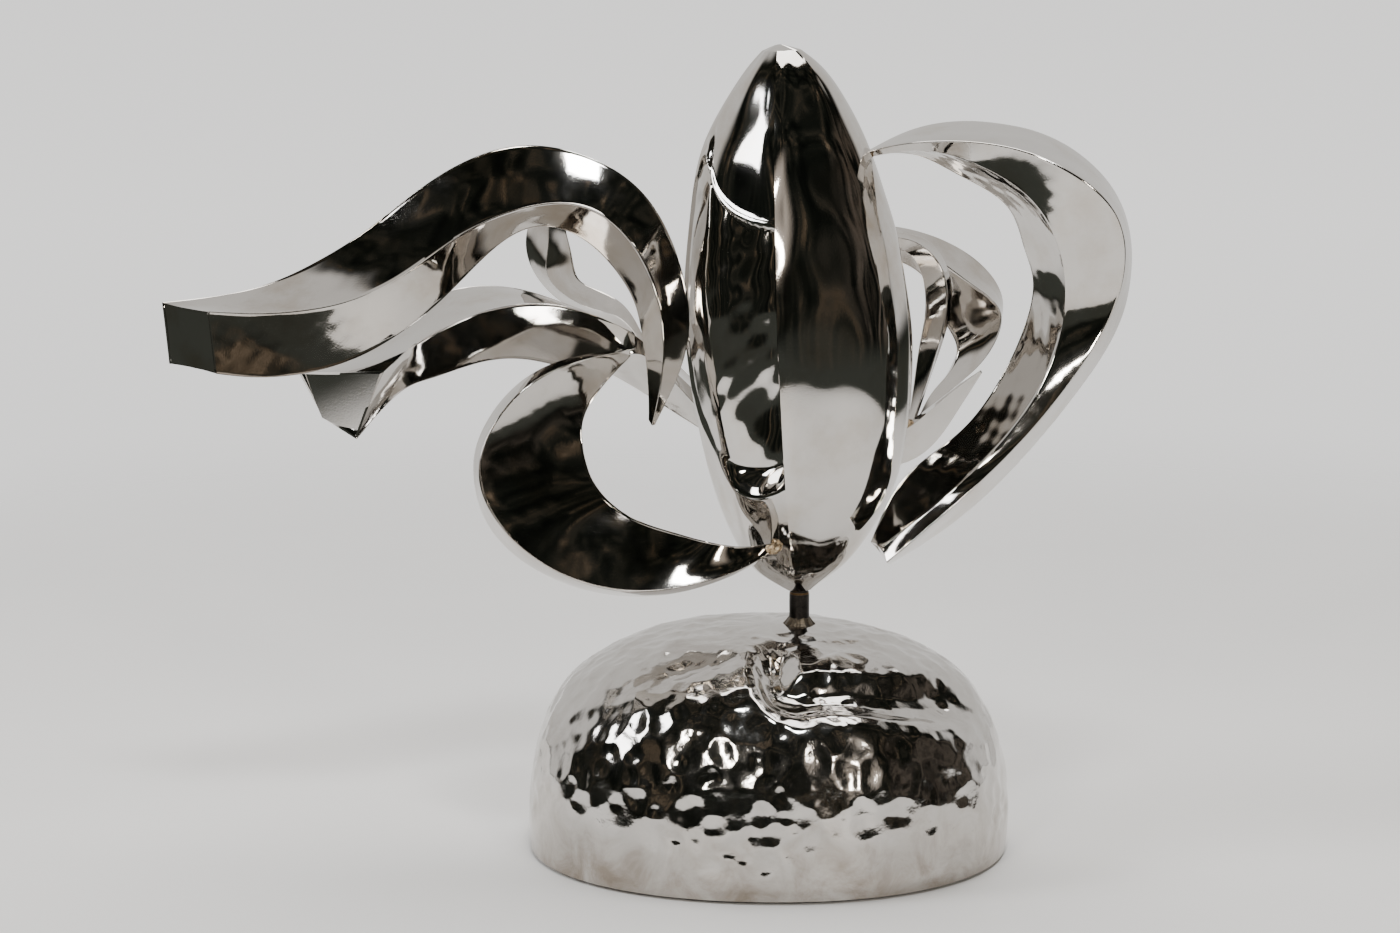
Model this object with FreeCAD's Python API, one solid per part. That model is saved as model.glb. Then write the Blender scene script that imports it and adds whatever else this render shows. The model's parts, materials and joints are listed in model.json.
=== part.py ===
import FreeCAD, Part
import math
import os

# Table-top sculpture of welded, polished stainless sheet that turns on a slim spindle over a
# hammered base. Millimetres, +Z up. The origin is on the spindle axis at the underside of the base.

V = FreeCAD.Vector
UP = V(0, 0, 1)

# ---- driving dimensions -------------------------------------------------------------------
SHEET = 1.5                 # thickness of the horn and leaf sheet
CORE_SHEET = 2.0            # thickness of the core sheet
BASE_SHEET = 2.5            # thickness of the hammered base shell
SPINDLE_RADIUS = 5.0        # turned neck of the spindle that carries the sculpture
SLEEVE_RADIUS = 5.6         # thicker post that stands on the base
SHAFT_CLEARANCE = 0.05      # radial running clearance of the spindle in its bushes
FELT = 1.5                  # felt pad under the base
BASE_TOP = 127.0            # top of the base shell at the post
SLEEVE_TOP = 143.5          # shoulder of the post
WASHER = 1.2                # bronze washer on that shoulder
PLATE = 3.0                 # floor plate inside the foot of the base shell
CORE_BOTTOM = 146.0         # lowest point of the core shell
CORE_HEIGHT = 300.0         # from there to the apex, along the leaning axis
CORE_TILT = 2.4             # degrees, the core leans to its left
SPINDLE_TOP = 280.0         # top of the spindle inside the core

# Core shell: height, reach to the left, reach to the right, all measured from its leaning axis.
CORE_STATIONS = [
    (0, 7, 7),
    (5, 15, 14),
    (14, 26, 26),
    (28, 34, 38),
    (49, 42, 51),
    (72, 48, 59),
    (115, 55, 66),
    (164, 57, 65),
    (208, 52, 57),
    (245, 44, 46),
    (274, 28, 32),
    (290, 16, 20),
    (300, 6, 8),
]
KEEL_ANGLE = -97.0          # the sharp front edge of the core, degrees from +X
RIDGE_ANGLE = -36.0         # the soft ridge between the front leaf and the side of the core
LEFT_ANGLE = 180.0          # left rim of the core
BACK_ANGLE = 90.0           # back seam of the core
# Hollow on the left front of the core: height and share of its full depth.
HOLLOW_DEPTH = 19.0
HOLLOW_STATIONS = [
    (50, 0.15), (62, 0.4), (85, 0.8), (120, 1.0), (160, 1.0), (200, 0.85), (228, 0.5), (248, 0.15),
]
# Edge of the opening over the hollow: (distance towards the keel, height), seen square on.
WINDOW = [
    (-26, 230), (-33, 200), (-35, 160), (-34, 125), (-29, 105), (-20, 86), (-8, 72), (8, 62),
    (25, 60), (50, 66), (64, 130), (56, 190), (36, 207), (14, 214), (-2, 224), (-12, 236),
    (-20, 241),
]
PIVOT_LOW = 152.0           # lower end of the pivot tube inside the core
PIVOT_HIGH = 286.0          # upper end of the pivot tube
TUBE_BORE = 7.5             # inner radius of the pivot tube
TUBE_RADIUS = 9.0           # outer radius of the pivot tube
BUSH_LENGTH = 20.0
RIB_HEIGHTS = (24.0, 130.0)  # ribs that hold the pivot tube, above the bottom of the core
RIB = 2.0
WELD_RADIUS = 5.5           # bead where a point is welded on
END_PLATE = 2.0             # plate that closes the mouth of a horn
KEEL_SHARE = 1.03           # reach of the keel as a share of the core's mean reach
PLATE_GAP = 0.5             # room round the floor plate inside the base shell
FELT_MARGIN = 5.0           # how far the felt stays inside the rim of the base
FLANGE_RADIUS = 24.0        # flange under the post
FLANGE = 6.0                # its thickness
SCREW_CIRCLE = 17.0         # radius on which its four screws stand
SCREW_RADIUS = 2.0
SCREW_HEAD_RADIUS = 4.0
SCREW_HEAD = 3.5            # height of a screw's head
SOCKET_RADIUS = 1.8
SOCKET_DEPTH = 2.2
SCREW_BELOW = 2.0           # length of a screw in the floor plate
COLLAR_FLARE = 3.5          # how far the weld round the foot of the post flares out
COLLAR_HEIGHT = 5.0
COLLAR_SUNK = 1.5           # how far that weld starts under the top of the base
GUSSET = 3.0                # thickness of a gusset
GUSSET_REACH = 21.0
GUSSET_HEIGHT = 34.0
GUSSET_TOE = 4.0            # height of a gusset at its outer end
BUSH_BELOW_TOP = 4.0        # how far the upper bush stays below the top of the spindle
NECK_ROOM = 0.5             # room round the spindle's neck where it enters the core

# Base shell: height and the share of the footprint that is left there.
BASE_STATIONS = [
    (FELT, 1.0),
    (22, 1.005),
    (50, 0.99),
    (76, 0.93),
    (98, 0.81),
    (113, 0.63),
    (122, 0.42),
    (126.5, 0.17),
]
# Footprint of the base: angle in degrees and reach from its own centre.
BASE_CENTRE = V(-17, 0, 0)
BASE_FOOTPRINT = [
    (0, 133), (30, 128), (60, 118), (90, 111), (120, 116), (150, 128),
    (180, 133), (210, 128), (240, 117), (270, 112), (300, 118), (330, 128),
]

# ---- seams of the horns -------------------------------------------------------------------
# Each row is one cross-section of a horn: outer back, outer front and inner front seam, and
# the inner back seam where it isn't the corner that closes a parallelogram.
LEFT_UPPER_HORN = [
    [(-345, -20, 309), (-316, -43, 307), (-313, -43, 273)],
    [(-304, -4, 313), (-290, -36, 305), (-290, -37, 270)],
    [(-264, 8, 328), (-249, -28, 309), (-244, -24, 277)],
    [(-234, 12, 347), (-216, -22, 323), (-202, -10, 302)],
    [(-196, 12, 375), (-183, -16, 345), (-175, 8, 327)],
    [(-150, 8, 391), (-148, -12, 359), (-147, 13, 345)],
    [(-99, 2, 377), (-111, -14, 357), (-114, 12, 335)],
    [(-73, -4, 347), (-87, -19, 333), (-94, 6, 311)],
    [(-62, -10, 314), (-77, -24, 307), (-88, -5, 295)],
    [(-63, -16, 279), (-75, -29, 276), (-84, -17, 270)],
    [(-79, -27, 243), (-81, -30, 243), (-83, -27, 246)],
]
LEFT_LOWER_HORN = [
    [(-274, -10, 270), (-223, -42, 275), (-241, -22, 234), (-261, -6, 243)],
    [(-250, 4, 276), (-213, -34, 284), (-219, -22, 258), (-250, 2, 259)],
    [(-226, 18, 292), (-205, -26, 289), (-200, -12, 266)],
    [(-195, 26, 309), (-176, -16, 302), (-173, 0, 273)],
    [(-166, 32, 311), (-147, -4, 306), (-148, 12, 272)],
    [(-132, 40, 301), (-117, 6, 300), (-116, 20, 266), (-126, 48, 268)],
    [(-86, 54, 278), (-88, 14, 284), (-90, 10, 276), (-86, 44, 248)],
    [(-46, 74, 241), (-48, 42, 243), (-50, 40, 235), (-48, 62, 221)],
    [(2, 72, 224), (-1, 42, 226), (-2, 42, 213), (0, 62, 201)],
    [(58, 60, 227), (58, 38, 228), (68, 50, 211), (68, 64, 210)],
    [(86, 56, 248), (83, 42, 247), (91, 52, 238)],
    [(103, 50, 261), (102, 47, 261), (103, 49, 259)],
]
FRONT_CRESCENT = [
    [(-94, 14, 278), (-91, 10, 279), (-92, 14, 275)],
    [(-129, -2, 275), (-126, -16, 274), (-106, 0, 262)],
    [(-156, -10, 261), (-152, -32, 261), (-117, -8, 247)],
    [(-175, -18, 235), (-170, -42, 237), (-119, -14, 231)],
    [(-178, -22, 212), (-173, -48, 217), (-115, -18, 214)],
    [(-169, -28, 186), (-163, -54, 194), (-103, -24, 199)],
    [(-146, -32, 165), (-140, -60, 174), (-88, -32, 191)],
    [(-110, -36, 152), (-107, -64, 161), (-68, -40, 186)],
    [(-72, -40, 152), (-70, -62, 160), (-47, -48, 182)],
    [(-38, -40, 162), (-37, -52, 167), (-29, -42, 179)],
    [(-13, -30, 174), (-13, -34, 176), (-12, -30, 179)],
]
RIGHT_HORN = [
    [(33, 2, 387), (32, -2, 387), (33, 2, 384), (32, 4, 385)],
    [(65, 18, 400), (54, -12, 393), (60, -6, 389), (58, 20, 385)],
    [(109, 14, 402), (97, -30, 395), (90, -22, 384), (84, 10, 375)],
    [(150, 4, 387), (137, -46, 383), (120, -38, 366), (112, 0, 357)],
    [(174, 0, 358), (164, -46, 360), (135, -38, 342), (121, 0, 335)],
    [(180, 2, 324), (171, -38, 331), (140, -33, 320), (126, 0, 315)],
    [(174, 2, 294), (165, -33, 304), (139, -30, 296), (120, 0, 288)],
    [(155, -2, 262), (147, -36, 273), (127, -34, 263), (104, -8, 258)],
    [(121, -10, 221), (114, -42, 233), (101, -40, 229), (81, -12, 232)],
    [(86, -14, 188), (79, -46, 200), (76, -40, 205), (55, -14, 210)],
    [(49, -18, 164), (46, -42, 170), (44, -36, 178), (38, -20, 177)],
]
REAR_SLIM_LEAF = [
    [(28, 38, 338), (32, 28, 336), (30, 38, 328)],
    [(54, 60, 338), (54, 48, 336), (50, 58, 327)],
    [(72, 66, 333), (67, 54, 332), (62, 62, 325)],
    [(83, 70, 321), (79, 56, 321), (70, 66, 312)],
    [(88, 70, 299), (84, 54, 299), (72, 66, 291)],
    [(83, 68, 275), (80, 52, 277), (69, 64, 273)],
    [(74, 66, 248), (72, 54, 250), (66, 63, 251)],
    [(65, 60, 222), (63, 56, 223), (62, 60, 225)],
]
REAR_WIDE_LEAF = [
    [(10, 46, 338), (18, 34, 335), (12, 44, 324)],
    [(54, 90, 338), (56, 74, 334), (50, 86, 320)],
    [(88, 102, 327), (80, 80, 320), (74, 96, 306)],
    [(112, 106, 309), (101, 78, 305), (84, 98, 284)],
    [(120, 104, 291), (116, 74, 290), (92, 94, 269)],
    [(110, 94, 265), (106, 70, 263), (88, 88, 254)],
    [(90, 82, 243), (86, 68, 245), (77, 78, 243)],
    [(68, 68, 218), (66, 64, 219), (65, 68, 221)],
]
REAR_CRESCENT = [
    [(-137, 29, 375), (-129, 20, 371), (-121, 29, 375)],
    [(-141, 56, 361), (-131, 44, 357), (-123, 56, 357)],
    [(-150, 76, 346), (-139, 56, 348), (-131, 74, 341)],
    [(-154, 80, 331), (-140, 54, 331), (-128, 78, 325)],
    [(-149, 82, 311), (-139, 54, 311), (-124, 80, 309)],
    [(-134, 82, 295), (-122, 58, 297), (-114, 80, 303)],
    [(-110, 72, 287), (-103, 56, 291), (-99, 70, 296)],
    [(-88, 48, 275), (-87, 42, 276), (-86, 48, 279)],
]


def outer_corners(row):
    """Four corners of a horn section; the fourth closes a parallelogram when it isn't given."""
    corners = [V(*point) for point in row]
    if len(corners) == 3:
        corners.append(corners[0] + corners[2] - corners[1])
    return corners


def inner_corners(corners):
    """The same section inside the sheet, thinned where the section is too small for it."""
    size = min((corners[k] - corners[k - 1]).Length for k in range(4))
    inside = []
    for k in range(4):
        before = (corners[k - 1] - corners[k]).normalize()
        after = (corners[(k + 1) % 4] - corners[k]).normalize()
        spread = max(before.cross(after).Length, 0.35)
        wall = min(SHEET, 0.2 * size)
        inside.append(corners[k] + (before + after) * (wall / spread))
    return inside


def seam_edge(points, places):
    """A smooth seam through its points, with the same parameters for every seam of a horn."""
    curve = Part.BSplineCurve()
    curve.interpolate(Points=points, Parameters=places)
    return curve.toShape()


def solid_from(faces):
    """Closes touching faces into one solid."""
    shell = Part.makeShell(faces)
    shell.sewShape()
    solid = Part.makeSolid(shell)
    if solid.Volume < 0:
        solid.reverse()
    return solid


def horn_places(sections):
    """Places of the sections along the horn, from the distances between their centres."""
    centres = [(c[0] + c[1] + c[2] + c[3]) * 0.25 for c in sections]
    places = [0.0]
    for before, after in zip(centres, centres[1:]):
        places.append(places[-1] + (after - before).Length)
    return [place / places[-1] for place in places]


def horn_solid(rows):
    """The whole outside of a horn as one solid, for trimming what it is welded to."""
    outside = [outer_corners(row) for row in rows]
    places = horn_places(outside)
    seams = [seam_edge([c[k] for c in outside], places) for k in range(4)]
    faces = [Part.makeRuledSurface(seams[k], seams[(k + 1) % 4]) for k in range(4)]
    for end in (0, -1):
        corners = outside[end]
        first = Part.makeLine(corners[0], corners[1])
        second = Part.makeLine(corners[3], corners[2])
        faces.append(Part.makeRuledSurface(first, second))
    return solid_from(faces)


def horn_panels(rows):
    """The four mitred strips of a horn, each between two neighbouring seams."""
    outside = [outer_corners(row) for row in rows]
    inside = [inner_corners(corners) for corners in outside]
    places = horn_places(outside)
    outer = [seam_edge([c[k] for c in outside], places) for k in range(4)]
    inner = [seam_edge([c[k] for c in inside], places) for k in range(4)]
    panels = []
    for k in range(4):
        n = (k + 1) % 4
        faces = [
            Part.makeRuledSurface(outer[k], outer[n]),
            Part.makeRuledSurface(inner[k], inner[n]),
            Part.makeRuledSurface(outer[k], inner[k]),
            Part.makeRuledSurface(outer[n], inner[n]),
        ]
        for end in (0, -1):
            far = Part.makeLine(outside[end][k], outside[end][n])
            near = Part.makeLine(inside[end][k], inside[end][n])
            faces.append(Part.makeRuledSurface(far, near))
        panels.append(solid_from(faces))
    return panels


def end_plate(row, next_row, strips):
    """A flat plate that closes the mouth of a horn, let in between its four strips."""
    corners = outer_corners(row)
    inside = inner_corners(corners)
    middle = (inside[0] + inside[1] + inside[2] + inside[3]) * 0.25
    along = outer_corners(next_row)[0] - corners[0]
    normal = (inside[2] - inside[0]).cross(inside[3] - inside[1]).normalize()
    if normal.dot(along) < 0:
        normal = normal * -1
    flat = []
    for corner in inside:
        reach = corner - middle
        flat.append(middle + reach - normal * reach.dot(normal))
    plate = Part.Face(Part.makePolygon(flat + [flat[0]])).extrude(normal * END_PLATE)
    for strip in strips:
        plate = plate.cut(strip)
    return largest(plate)


def largest(shape):
    """The biggest solid that a cut leaves."""
    return max(shape.Solids, key=lambda solid: solid.Volume)


# ---- core ---------------------------------------------------------------------------------
def core_place(shape):
    """Leans a shape that is modelled on the core's own axis and sets it on the spindle."""
    placed = shape.copy()
    placed.rotate(V(0, 0, 0), V(0, 1, 0), -CORE_TILT)
    placed.translate(V(0, 0, CORE_BOTTOM))
    return placed


def core_reach(angle, left, right, inset):
    """Distance from the core's axis to its sheet at an angle, for one station."""
    mean = (left + right) / 2
    reach = {
        LEFT_ANGLE: left,
        -138.0: 0.90 * mean,
        KEEL_ANGLE: KEEL_SHARE * mean,
        -66.0: 0.90 * mean,
        RIDGE_ANGLE: 0.93 * right,
        0.0: right,
        45.0: 0.92 * mean,
        BACK_ANGLE: 0.84 * mean,
        135.0: 0.88 * mean,
    }[angle]
    return max(reach - inset, 0.35 * reach)


def polar(angle, reach, height):
    turn = math.radians(angle)
    return V(reach * math.cos(turn), reach * math.sin(turn), height)


def core_side(angles, station, inset):
    height, left, right = station
    curve = Part.BSplineCurve()
    curve.interpolate(Points=[polar(a, core_reach(a, left, right, inset), height) for a in angles])
    return curve.toShape()


def core_section(station, inset):
    """One closed section of the core, with a corner at each seam."""
    sides = [
        (LEFT_ANGLE, -138.0, KEEL_ANGLE),
        (KEEL_ANGLE, -66.0, RIDGE_ANGLE),
        (RIDGE_ANGLE, 0.0, 45.0, BACK_ANGLE),
        (BACK_ANGLE, 135.0, LEFT_ANGLE),
    ]
    return Part.Wire([core_side(angles, station, inset) for angles in sides])


def core_solid(inset):
    """The core's outside, or with an inset the space inside its sheet."""
    sections = []
    for height, left, right in CORE_STATIONS:
        level = max(min(height, CORE_HEIGHT - inset), inset)
        sections.append(core_section((level, left, right), inset))
    return Part.makeLoft(sections, True, False)


def core_wedge(first, last):
    """A tall wedge between two angles about the core's axis."""
    reach = 400.0
    points = [V(0, 0, -50)]
    points += [polar(angle, reach, -50) for angle in (first, (first + last) / 2, last)]
    face = Part.Face(Part.makePolygon(points + [points[0]]))
    return face.extrude(UP * (CORE_HEIGHT + 100))


def left_front_prism(points, smooth):
    """A prism that runs out square through the left front, from (sideways, height) points."""
    outward = polar(-138.0, 1.0, 0)
    sideways = polar(-48.0, 1.0, 0)
    corners = [sideways * x + UP * z + outward * 4.0 for x, z in points]
    if smooth:
        curve = Part.BSplineCurve()
        curve.interpolate(Points=corners, PeriodicFlag=True)
        wire = Part.Wire([curve.toShape()])
    else:
        wire = Part.makePolygon(corners + [corners[0]])
    return Part.Face(wire).extrude(outward * 150.0)


def core_size_at(height):
    """Reach to the left and right at a height, read between the stations."""
    for low, high in zip(CORE_STATIONS, CORE_STATIONS[1:]):
        if low[0] <= height <= high[0]:
            share = (height - low[0]) / (high[0] - low[0])
            return tuple(a + (b - a) * share for a, b in zip(low[1:], high[1:]))
    return CORE_STATIONS[-1][1:]


def hollow_cutter(behind):
    """Everything in front of the hollow's sheet, or with its thickness behind it."""
    sections = []
    for height, share in HOLLOW_STATIONS:
        left, right = core_size_at(height)
        keel = KEEL_SHARE * (left + right) / 2
        start = V(-0.972 * left, -2.6 + 1.9 * behind, height)
        finish = polar(KEEL_ANGLE - 2.4 + 2.0 * behind, keel * 0.975, height)
        inward = V(0.65, 0.76, 0)
        middle = (start + finish) * 0.5 + inward * (HOLLOW_DEPTH * share + behind)
        arc = Part.Arc(start, middle, finish).toShape()
        out_low = V(finish.x, -160, height)
        out_left = V(-160, -160, height)
        out_high = V(-160, start.y, height)
        rest = [
            Part.makeLine(finish, out_low),
            Part.makeLine(out_low, out_left),
            Part.makeLine(out_left, out_high),
            Part.makeLine(out_high, start),
        ]
        sections.append(Part.Wire([arc] + rest))
    return Part.makeLoft(sections, True, False)


def spindle_hole(radius, low, high):
    return Part.makeCylinder(radius, high - low, V(0, 0, low))


def core_parts():
    """The core's welded sheets, cut out of one shell along the seams, and its ribs."""
    outer = core_solid(0.0)
    space = core_solid(CORE_SHEET)
    shell = outer.cut(space)
    left_front = shell.common(core_wedge(-180.0, KEEL_ANGLE)).cut(left_front_prism(WINDOW, True))
    above = left_front_prism([(-90, 266), (90, 165), (90, 420), (-90, 420)], False)
    behind = hollow_cutter(CORE_SHEET)
    parts = {
        "core_front_leaf": shell.common(core_wedge(KEEL_ANGLE, RIDGE_ANGLE)),
        "core_side_sheet": shell.common(core_wedge(RIDGE_ANGLE, BACK_ANGLE)),
        "core_back_sheet": shell.common(core_wedge(BACK_ANGLE, LEFT_ANGLE)),
        "core_hood": largest(left_front.common(above)),
        "core_left_rim": largest(left_front.cut(above)),
        "core_hollow_sheet": largest(behind.cut(hollow_cutter(0.0)).common(space)),
    }
    for name, height in zip(("core_lower_rib", "core_upper_rib"), RIB_HEIGHTS):
        slab = Part.makeBox(400, 400, RIB, V(-200, -200, height))
        parts[name] = largest(slab.common(space).cut(behind))
    placed = {name: core_place(shape) for name, shape in parts.items()}
    neck = spindle_hole(SPINDLE_RADIUS + NECK_ROOM, SLEEVE_TOP, PIVOT_LOW)
    tube = spindle_hole(TUBE_RADIUS, PIVOT_LOW, PIVOT_HIGH)
    for name in placed:
        if name.endswith("_rib"):
            placed[name] = largest(placed[name].cut(tube))
        else:
            placed[name] = largest(placed[name].cut(neck))
    return core_place(outer), placed


def pivot_parts():
    """Tube, bushes and plug that turn with the core around the fixed spindle."""
    tube = spindle_hole(TUBE_RADIUS, PIVOT_LOW, PIVOT_HIGH)
    tube = tube.cut(spindle_hole(TUBE_BORE, PIVOT_LOW, PIVOT_HIGH))
    bore = SPINDLE_RADIUS + SHAFT_CLEARANCE
    parts = {"pivot_tube": tube}
    upper_low = SPINDLE_TOP - BUSH_BELOW_TOP - BUSH_LENGTH
    for name, low in (("lower_bush", PIVOT_LOW), ("upper_bush", upper_low)):
        ring = spindle_hole(TUBE_BORE, low, low + BUSH_LENGTH)
        parts[name] = ring.cut(spindle_hole(bore, low, low + BUSH_LENGTH))
    parts["thrust_plug"] = spindle_hole(TUBE_BORE, SPINDLE_TOP + SHAFT_CLEARANCE, PIVOT_HIGH)
    return parts


# ---- base ---------------------------------------------------------------------------------
def base_section(height, share, inset):
    """One closed section of the base, through its footprint scaled towards the top."""
    points = []
    for angle, reach in BASE_FOOTPRINT:
        points.append(BASE_CENTRE + polar(angle, reach * share - inset, height))
    curve = Part.BSplineCurve()
    curve.interpolate(Points=points, PeriodicFlag=True)
    return Part.Wire([curve.toShape()])


def base_solid(inset):
    sections = []
    for height, share in BASE_STATIONS:
        level = height - (inset if height > 60 else 0)
        sections.append(base_section(level, share, inset))
    return Part.makeLoft(sections, True, False)


def gusset(turn, foot):
    """An upright triangular plate between the post and its flange."""
    corners = [
        V(SLEEVE_RADIUS, -GUSSET / 2, foot),
        V(GUSSET_REACH, -GUSSET / 2, foot),
        V(GUSSET_REACH, -GUSSET / 2, foot + GUSSET_TOE),
        V(SLEEVE_RADIUS, -GUSSET / 2, foot + GUSSET_HEIGHT),
    ]
    plate = Part.Face(Part.makePolygon(corners + [corners[0]])).extrude(V(0, GUSSET, 0))
    plate.rotate(V(0, 0, 0), UP, turn)
    return plate


def base_parts():
    """Hammered shell, floor plate, felt and the post with its foot."""
    shell = base_solid(0.0).cut(base_solid(BASE_SHEET))
    outline = base_section(0, 1.0, BASE_SHEET + PLATE_GAP)
    plate = Part.Face(outline).extrude(UP * PLATE)
    plate.translate(V(0, 0, FELT))
    felt = Part.Face(base_section(0, 1.0, FELT_MARGIN)).extrude(UP * FELT)
    floor = FELT + PLATE
    post = spindle_hole(SLEEVE_RADIUS, floor, SLEEVE_TOP)
    neck = spindle_hole(SPINDLE_RADIUS, SLEEVE_TOP, SPINDLE_TOP)
    washer = spindle_hole(SLEEVE_RADIUS - 0.2, SLEEVE_TOP, SLEEVE_TOP + WASHER)
    flange_top = floor + FLANGE
    flange = spindle_hole(FLANGE_RADIUS, floor, flange_top).cut(post)
    collar_foot = V(0, 0, BASE_TOP - COLLAR_SUNK)
    collar = Part.makeCone(SLEEVE_RADIUS + COLLAR_FLARE, SLEEVE_RADIUS, COLLAR_HEIGHT, collar_foot)
    parts = {
        "base_shell": shell.cut(post),
        "base_plate": plate,
        "felt_pad": felt,
        "spindle": post.fuse(neck).removeSplitter(),
        "thrust_washer": washer.cut(neck),
        "post_flange": flange,
        "post_weld": collar.cut(post).cut(base_solid(0.0)),
    }
    screws = []
    for turn in (45, 135, 225, 315):
        head = Part.makeCylinder(SCREW_HEAD_RADIUS, SCREW_HEAD, polar(turn, SCREW_CIRCLE, flange_top))
        socket_foot = polar(turn, SCREW_CIRCLE, flange_top + SCREW_HEAD - SOCKET_DEPTH)
        socket = Part.makeCylinder(SOCKET_RADIUS, SOCKET_DEPTH, socket_foot)
        shank_foot = polar(turn, SCREW_CIRCLE, floor - SCREW_BELOW)
        shank = Part.makeCylinder(SCREW_RADIUS, FLANGE + SCREW_BELOW, shank_foot)
        screws.append(head.fuse(shank).cut(socket))
        parts["post_flange"] = parts["post_flange"].cut(shank)
        parts["base_plate"] = parts["base_plate"].cut(shank)
    parts["flange_screws"] = Part.makeCompound(screws)
    for number, turn in enumerate((0, 90, 180, 270), 1):
        parts[f"gusset_{number}"] = gusset(turn, flange_top).cut(post)
    return parts


HORNS = {
    "upper_horn": LEFT_UPPER_HORN,
    "lower_horn": LEFT_LOWER_HORN,
    "crescent": FRONT_CRESCENT,
    "right_horn": RIGHT_HORN,
    "slim_leaf": REAR_SLIM_LEAF,
    "wide_leaf": REAR_WIDE_LEAF,
    "rear_crescent": REAR_CRESCENT,
}
SIDES = ("outer", "front", "inner", "back")
# What each horn is trimmed by where it is welded on.
WELDED_TO = {
    "upper_horn": [],
    "lower_horn": [],
    "crescent": ["lower_horn"],
    "right_horn": [],
    "slim_leaf": ["lower_horn"],
    "wide_leaf": ["lower_horn"],
    "rear_crescent": ["upper_horn", "lower_horn"],
}


def horn_parts(core):
    """Every strip of every horn, trimmed where it meets the core or another horn."""
    solids = {name: horn_solid(HORNS[name]) for name in ("upper_horn", "lower_horn")}
    parts = {}
    for name, rows in HORNS.items():
        trims = [core] + [solids[other] for other in WELDED_TO[name]]
        for side, panel in zip(SIDES, horn_panels(rows)):
            for trim in trims:
                panel = panel.cut(trim)
            parts[f"{name}_{side}"] = largest(panel)
    for name in ("upper_horn", "lower_horn"):
        strips = [parts[f"{name}_{side}"] for side in SIDES]
        parts[f"{name}_end_plate"] = end_plate(HORNS[name][0], HORNS[name][1], strips)
    strips = [parts[f"right_horn_{side}"] for side in SIDES]
    parts["right_horn_foot_plate"] = end_plate(RIGHT_HORN[-1], RIGHT_HORN[-2], strips)
    return parts


def weld_beads(core, parts):
    """Welds where the horns' points meet the core and each other."""
    places = {
        "crescent_weld": (V(-15, -35, 176), ["crescent"]),
        "right_horn_weld": (V(36, 0, 387), ["right_horn"]),
        "rear_weld": (V(61, 52, 229), ["lower_horn", "slim_leaf", "wide_leaf"]),
    }
    beads = {}
    for name, (centre, horns) in places.items():
        bead = Part.makeSphere(WELD_RADIUS, centre).cut(core)
        for horn in horns:
            for side in SIDES:
                bead = bead.cut(parts[f"{horn}_{side}"])
        beads[name] = largest(bead)
    return beads


def main():
    os.makedirs("parts", exist_ok=True)
    core, parts = core_parts()
    parts.update(horn_parts(core))
    parts.update(pivot_parts())
    parts.update(base_parts())
    parts.update(weld_beads(core, parts))
    for name, shape in parts.items():
        if not shape.isValid():
            print("invalid", name)
        shape.exportStep(f"parts/{name}.step")
    print(len(parts), "parts")


if __name__ == "__main__":
    main()
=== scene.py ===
import json
import math
import bmesh
import bpy
import numpy as np
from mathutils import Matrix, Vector


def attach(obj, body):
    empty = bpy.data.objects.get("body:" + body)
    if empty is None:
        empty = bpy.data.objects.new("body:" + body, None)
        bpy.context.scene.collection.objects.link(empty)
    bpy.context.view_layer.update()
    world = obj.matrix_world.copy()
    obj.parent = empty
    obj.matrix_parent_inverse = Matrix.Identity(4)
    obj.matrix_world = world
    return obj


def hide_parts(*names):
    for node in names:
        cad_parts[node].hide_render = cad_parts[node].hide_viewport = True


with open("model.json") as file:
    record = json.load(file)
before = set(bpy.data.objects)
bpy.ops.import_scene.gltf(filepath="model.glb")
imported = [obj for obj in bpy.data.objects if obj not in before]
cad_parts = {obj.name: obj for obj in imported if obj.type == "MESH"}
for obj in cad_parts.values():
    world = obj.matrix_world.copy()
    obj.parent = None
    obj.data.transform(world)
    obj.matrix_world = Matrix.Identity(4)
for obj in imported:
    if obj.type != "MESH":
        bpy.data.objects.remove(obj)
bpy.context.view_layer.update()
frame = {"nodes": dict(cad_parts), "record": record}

# Turning sculpture of polished sheet steel over a hammered base. Metres, in the CAD's own frame.
# The horns' sections are the CAD's own, in millimetres: outer back, outer front, inner front and,
# where it doesn't close a parallelogram, inner back corner.
MM = 0.001
SHEET = 1.5                     # sheet of the horns
CORE_SHEET = 2.0                # sheet of the core
CORE_BOTTOM = 146.0             # height of the core's foot over the table
CORE_HEIGHT = 300.0             # along its own axis
CORE_TILT = math.radians(2.4)   # it leans to the left
APEX_ROUND = 3.0                # its tip rounds off over this height
TIP_SHARE = 0.99999             # the leaves end a hair under the tip
LEAF_ROWS = 240                 # rows of a leaf's grid
FRONT_GRID = (460, 170)         # rows and columns of the worked left front

# Seams of the core in degrees round it from +X: left silhouette, keel, soft ridge, back seam, left again.
LEFT_TURN = -180
KEEL_TURN = -97
RIDGE_TURN = -36
SIDE_TURN = 90
BACK_TURN = 180

# Strips of the horns: half width of a rounded seam, steps round it, points across, millimetres per row,
# how far a side sinks per width, wave of the fine unevenness and width where unevenness has its full strength.
SEAM_EDGE = 0.9
SEAM_STEPS = (0.5, 0.62, 0.78, 0.9)
STRIP_POINTS = 22
STRIP_STEP = 1.6
STRIP_CROWN = 0.06
BEATEN_WAVE = 11.0
FULL_WIDTH = 20.0

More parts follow.
